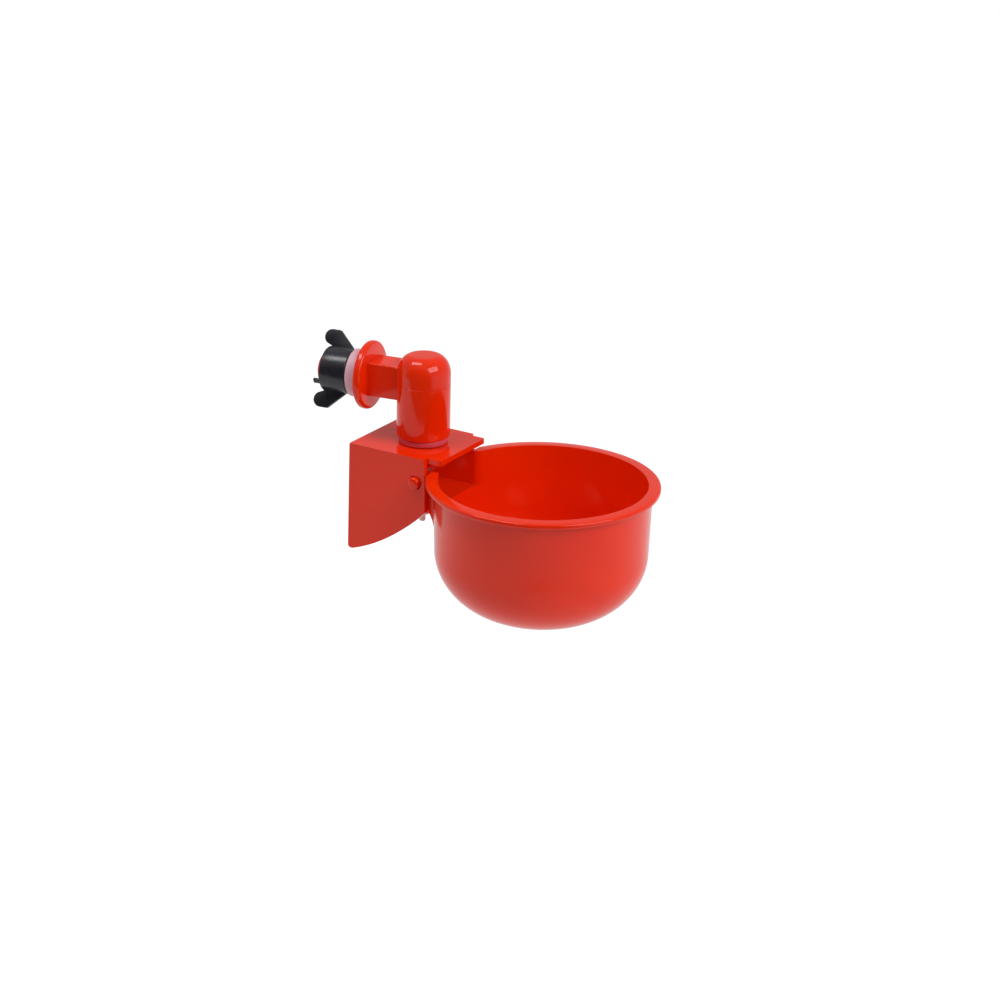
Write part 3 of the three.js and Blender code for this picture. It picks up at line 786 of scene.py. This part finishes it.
def stem_guide():
    rim = turned("guide", [
        (TAIL_BORE - 1.3, TAIL_END, 0.2), (TAIL_BORE - GAP, TAIL_END, 0.2),
        (TAIL_BORE - GAP, TAIL_END + GUIDE_RIM_T, 0.2), (TAIL_BORE - 1.3, TAIL_END + GUIDE_RIM_T, 0.2),
    ], closed=True, steps=64)
    hub = turned("hub", [
        (STEM_R + GAP, TAIL_END), (STEM_R + 1.3, TAIL_END, 0.2),
        (STEM_R + 1.3, TAIL_END + GUIDE_HUB_T, 0.2), (STEM_R + GAP, TAIL_END + GUIDE_HUB_T),
    ], closed=True, steps=48)
    spokes = []
    for i in range(3):
        spoke = block("spoke", (STEM_R + 0.9, -0.5, TAIL_END + 0.01),
                      (TAIL_BORE - 0.8, 0.5, TAIL_END + GUIDE_SPOKE_T))
        spokes.append(turn_about(spoke, i * FULL_TURN / 3, "Z"))
    combine(rim, [hub, *spokes], "UNION")
    return finish(to_valve(rim), "stem_guide", "root", WHITE)


def valve_spring():
    low = SHOULDER_LOW + SHOULDER_T + GAP / 2 + SPRING_WIRE
    high = TAIL_END - GAP / 2 - SPRING_WIRE
    wire = arc(SPRING_R, low, SPRING_WIRE, SPRING_WIRE, 0, FULL_TURN * 11 / 12, 11)
    coil = chain("spring", wire, across_y, True)
    wind(coil, "Z", FULL_TURN * SPRING_TURNS, high - low, 1, 40 * SPRING_TURNS)
    bpy.ops.mesh.fill_holes(sides=12)
    tidy_faces()
    return finish(to_valve(coil), "valve_spring", "root", STEEL, smooth=50)


def adjusting_nut():
    top = CHUTE_FLOOR - CHUTE_FLOOR_T - 2 * GAP
    nut = hex_nut("level_nut", LEVEL_NUT_ACROSS, top - LEVEL_NUT_T, top, STEM_R + GAP)
    return finish(to_valve(nut), "adjusting_nut", "level_nut", WHITE)


def bracket_nut():
    top = -PLATE_T - GAP
    nut = hex_nut("tail_nut", TAIL_NUT_ACROSS, top - TAIL_NUT_T, top, TAIL_R + GAP)
    return finish(to_valve(nut), "bracket_nut", "root", RED)


# ---------------------------------------------------------------- bracket
def cheek(x0):
    """Side cheek: square at the back, quarter-round below."""
    corner = 0.4
    foot = PLATE_BACK + 0.8
    outline = [(PLATE_BACK, 0, corner), (foot, CHEEK_FOOT, 1.2), (foot - 2, CHEEK_FOOT)]
    outline += quadratic((foot - 2, CHEEK_FOOT), CHEEK_BEND, CHEEK_NOSE, 28)
    outline += [(-12.1, -PLATE_T), (-PLATE_FRONT, 0)]
    return plate("cheek", outline, across_x, x0, CHEEK_OUT - CHEEK_IN)


def bracket():
    outline = [
        (-PLATE_SIDE, PLATE_BACK), (-PLATE_SIDE, -PLATE_FRONT), (-CHEEK_IN, -PLATE_FRONT),
        (-CHEEK_IN, -TONGUE_FRONT, 0.6), (CHEEK_IN, -TONGUE_FRONT, 0.6), (CHEEK_IN, -PLATE_FRONT),
        (PLATE_SIDE, -PLATE_FRONT), (PLATE_SIDE, PLATE_BACK),
    ]
    body = plate("bracket", outline, across_z, -PLATE_T, PLATE_T)
    combine(body, [cheek(-CHEEK_OUT), cheek(CHEEK_IN)], "UNION")
    tail_hole = rod("tail_hole", TAIL_R + GAP, -PLATE_T - 1, 1)
    peg_holes = rod("peg_holes", PEG_R + GAP, -BEYOND, BEYOND, "X", PIVOT)
    combine(body, [tail_hole, peg_holes], "DIFFERENCE")
    soften(body, 0.35)
    return finish(to_hanger(body), "bracket", "hanger", RED)


# ---------------------------------------------------------------- cup
def bowl_curve(offset):
    """Bottom and rounded side of the bowl, moved inwards by an offset."""
    wall_end = WALL_R - WALL_DRAFT * (RIM_TOP - RIM_T - WALL_END) - offset
    corner = BOWL_CORNER - offset / 2
    drop = WALL_END - BOWL_BOTTOM - offset
    bottom = (0, BOWL_BOTTOM + offset)
    return [bottom] + arc(wall_end - corner, WALL_END, corner, drop, -math.pi / 2, 0, 24)


def bowl_inside():
    """Cutter for the inside of the bowl, open at the top."""
    top = RIM_TOP + 5
    points = bowl_curve(WALL) + [(WALL_R - WALL, top), (0, top)]
    return shift(turned("inside", points, steps=160), (0, CUP_Y, 0))


def bowl_outside():
    """Bowl with its turned-out rim, one profile."""
    points = bowl_curve(0)
    points += [
        (WALL_R, RIM_TOP - RIM_T, 0.6), (RIM_R, RIM_TOP - RIM_T, 0.7), (RIM_R, RIM_TOP, 0.8), (0, RIM_TOP),
    ]
    return shift(turned("bowl", points, steps=160), (0, CUP_Y, 0))


def chute_outline(floor, back):
    outline = [(REACH, RIM_TOP), (RIM_BACK, RIM_TOP), (PIVOT.y - 1, RIM_TOP - 0.3)]
    outline += quadratic(outline[-1], (PIVOT.y + 5, -6.4), (PIVOT.y + 6, PIVOT.z - 2), 10)
    return outline + [(back, floor + 4), (back, floor, 1.0), (REACH, floor)]


def fin(side):
    outline = [(REACH, -7), (-13.7, -7), (-14, CHUTE_FLOOR - 1.2)]
    outline += quadratic(outline[-1], (-14.4, -28), (-17.6, FIN_FOOT), 8)
    outline += [(REACH, FIN_FOOT)]
    middle = side * (CHUTE_OUT + CHUTE_IN) / 2
    return plate("fin", outline, across_x, middle - FIN_T / 2, FIN_T)


def gusset(side):
    top = CHUTE_FLOOR - 0.7
    outline = [(REACH, top), (-6.6, top), (-6.6, top - 1.6), (-12.6, GUSSET_FOOT), (REACH, GUSSET_FOOT)]
    return plate("gusset", outline, across_x, side * GUSSET_OFF - GUSSET_T / 2, GUSSET_T)


def peg(side):
    high = CHEEK_OUT + 1.8
    stub = turned("peg", [
        (0, CHUTE_IN + 0.4), (PEG_R, CHUTE_IN + 0.4), (PEG_R, high, 0.9), (0, high),
    ], steps=48)
    turn_about(stub, side * math.pi / 2, "Y")
    return shift(stub, PIVOT)


def jamb(side):
    """Cutter that rounds the upright corner where the chute opens into the bowl."""
    edge = (side * CHUTE_IN, JAMB_BACK)
    outline = [(side * (CHUTE_IN - 0.5), JAMB_BACK), edge]
    outline += quadratic(edge, (side * CHUTE_IN, JAMB_FRONT + 1.9), (side * JAMB_OUT, JAMB_FRONT), 10)
    outline += [(side * (CHUTE_IN - 0.5), JAMB_FRONT - 0.5)]
    return plate("jamb", outline, across_z, CHUTE_FLOOR, 10 - CHUTE_FLOOR)


def cup():
    body = bowl_outside()
    combine(body, [block("back", (-BEYOND, RIM_BACK, -80), (BEYOND, BEYOND, 10))], "DIFFERENCE")
    under = CHUTE_FLOOR - CHUTE_FLOOR_T
    chute = plate("chute", chute_outline(under, CHUTE_BACK), across_x, -CHUTE_OUT, 2 * CHUTE_OUT)
    combine(body, [chute, fin(-1), fin(1), gusset(-1), gusset(1)], "UNION")
    inside = bowl_inside()
    combine(inside, [block("back", (-BEYOND, RIM_BACK - WALL, -80), (BEYOND, BEYOND, 20))], "DIFFERENCE")
    mouth = block("mouth", (-CHUTE_IN, REACH - 4, CHUTE_FLOOR), (CHUTE_IN, CHUTE_BACK + 5, 10))
    slot = block("slot", (-1.9, -3.8, under - 5), (1.9, 2.1, CHUTE_FLOOR + 1))
    combine(body, [inside, mouth, slot, jamb(-1), jamb(1)], "DIFFERENCE")
    combine(body, [peg(-1), peg(1)], "UNION")
    return finish(to_hanger(body), "cup", "cup", RED)


# ---------------------------------------------------------------- studio
def studio_floor():
    deselect()
    away = Vector((math.sin(CAMERA_AZIMUTH), math.cos(CAMERA_AZIMUTH), 0))
    middle = away * (FLOOR_SIZE / 2 - FLOOR_FRONT)
    bpy.ops.mesh.primitive_plane_add(size=FLOOR_SIZE, rotation=(0, 0, -CAMERA_AZIMUTH),
                                     location=(middle.x, middle.y, cad_low[2] - FLOOR_DROP * MM))
    floor = bpy.context.object
    floor.name = "studio_floor"
    material = bpy.data.materials.new("studio_floor")
    material.use_nodes = True
    surface = material.node_tree.nodes["Principled BSDF"]
    surface.inputs["Base Color"].default_value = (0.3, 0.3, 0.3, 1)
    surface.inputs["Roughness"].default_value = 0.9
    surface.inputs["Specular IOR Level"].default_value = 0.1
    surface.inputs["Emission Color"].default_value = (1, 1, 1, 1)
    tree = material.node_tree
    path = add(tree, "ShaderNodeLightPath")
    glow = add(tree, "ShaderNodeMix", data_type="FLOAT")
    glow.inputs["A"].default_value = 0.58
    glow.inputs["B"].default_value = 0.88
    tree.links.new(path.outputs["Is Camera Ray"], glow.inputs["Factor"])
    tree.links.new(glow.outputs["Result"], surface.inputs["Emission Strength"])
    # open from below, so that the part can be looked at from underneath
    side = add(tree, "ShaderNodeNewGeometry")
    clear = add(tree, "ShaderNodeBsdfTransparent")
    either = add(tree, "ShaderNodeMixShader")
    tree.links.new(side.outputs["Backfacing"], either.inputs["Fac"])
    tree.links.new(surface.outputs["BSDF"], either.inputs[1])
    tree.links.new(clear.outputs["BSDF"], either.inputs[2])
    tree.links.new(either.outputs["Shader"], tree.nodes["Material Output"].inputs["Surface"])
    floor.data.materials.append(material)


def studio_air():
    """White air below, softer above, and a darker part of the room on the camera's side."""
    world = bpy.data.worlds.new("studio_air")
    bpy.context.scene.world = world
    world.use_nodes = True
    tree = world.node_tree
    link = tree.links.new
    place = add(tree, "ShaderNodeTexCoord")
    parts = add(tree, "ShaderNodeSeparateXYZ")
    link(place.outputs["Generated"], parts.inputs["Vector"])
    height = add(tree, "ShaderNodeMapRange")
    height.inputs["From Min"].default_value = -0.12
    height.inputs["From Max"].default_value = 0.25
    height.inputs["To Min"].default_value = 0.85
    height.inputs["To Max"].default_value = 0.42
    link(parts.outputs["Z"], height.inputs["Value"])
    toward = add(tree, "ShaderNodeVectorMath", operation="DOT_PRODUCT")
    toward.inputs[1].default_value = Vector((-0.93, 0.03, -0.30)).normalized()
    link(place.outputs["Generated"], toward.inputs[0])
    shade = add(tree, "ShaderNodeMapRange", interpolation_type="SMOOTHSTEP")
    shade.inputs["From Min"].default_value = 0.36
    shade.inputs["From Max"].default_value = 0.70
    link(toward.outputs["Value"], shade.inputs["Value"])
    room = add(tree, "ShaderNodeMix", data_type="FLOAT")
    room.inputs["B"].default_value = 0.08
    link(shade.outputs["Result"], room.inputs["Factor"])
    link(height.outputs["Result"], room.inputs["A"])
    path = add(tree, "ShaderNodeLightPath")
    seen = add(tree, "ShaderNodeMix", data_type="FLOAT")
    seen.inputs["B"].default_value = 1.0
    link(path.outputs["Is Camera Ray"], seen.inputs["Factor"])
    link(room.outputs["Result"], seen.inputs["A"])
    link(seen.outputs["Result"], tree.nodes["Background"].inputs["Strength"])
    tree.nodes["Background"].inputs["Color"].default_value = (1, 1, 1, 1)


def softbox(name, target, direction, along, distance, width, height, power):
    """Area light facing the target, its width running along the given direction."""
    light = bpy.data.lights.new(name, "AREA")
    light.shape = "RECTANGLE"
    light.size = width
    light.size_y = height
    light.energy = power
    obj = bpy.data.objects.new(name, light)
    bpy.context.scene.collection.objects.link(obj)
    back = Vector(direction).normalized()
    along = Vector(along)
    side = (along - along.dot(back) * back).normalized()
    turn = Matrix((side, back.cross(side), back)).transposed().to_4x4()
    obj.matrix_world = Matrix.Translation(target + back * distance) @ turn
    return obj


def studio_lights():
    """One softbox overhead and a window of two panes in front."""
    centre = VALVE * MM
    softbox("overhead", centre, (-0.23, 0.32, 0.91), (0, 1, 0), 0.9, 0.5, 0.26, 3.0)
    level = Vector((0.94, -0.33, 0))
    for side in (-1, 1):
        middle = centre + level * PANE_OFF * side
        softbox("window_pane", middle, (-0.27, -0.77, 0.58), level, 1.0, 0.34, 0.42, 2.2)


def camera():
    """Camera at the near side, a little above, with a slight roll."""
    flat = math.cos(CAMERA_ELEVATION)
    back = Vector((-flat * math.sin(CAMERA_AZIMUTH), -flat * math.cos(CAMERA_AZIMUTH),
                   math.sin(CAMERA_ELEVATION)))
    level_right = Vector((0, 0, 1)).cross(back).normalized()
    level_up = back.cross(level_right)
    right = math.cos(CAMERA_ROLL) * level_right + math.sin(CAMERA_ROLL) * level_up
    up = math.cos(CAMERA_ROLL) * level_up - math.sin(CAMERA_ROLL) * level_right
    place = (VALVE + right * CAMERA_RIGHT + up * CAMERA_UP + back * CAMERA_BACK) * MM
    data = bpy.data.cameras.new("camera")
    data.sensor_width = 36
    data.lens = 86.4
    obj = bpy.data.objects.new("camera", data)
    bpy.context.scene.collection.objects.link(obj)
    turn = Matrix((right, up, back)).transposed().to_4x4()
    obj.matrix_world = Matrix.Translation(place) @ turn
    bpy.context.scene.camera = obj


camera()
studio_floor()
studio_air()
studio_lights()
elbow_housing()
wall_gasket()
wing_nut()
base_washer()
valve_seat()
seat_seal_ring()
valve_stem()
valve_pad()
stem_guide()
valve_spring()
adjusting_nut()
bracket_nut()
bracket()
cup()

bpy.context.scene.view_settings.view_transform = "Standard"
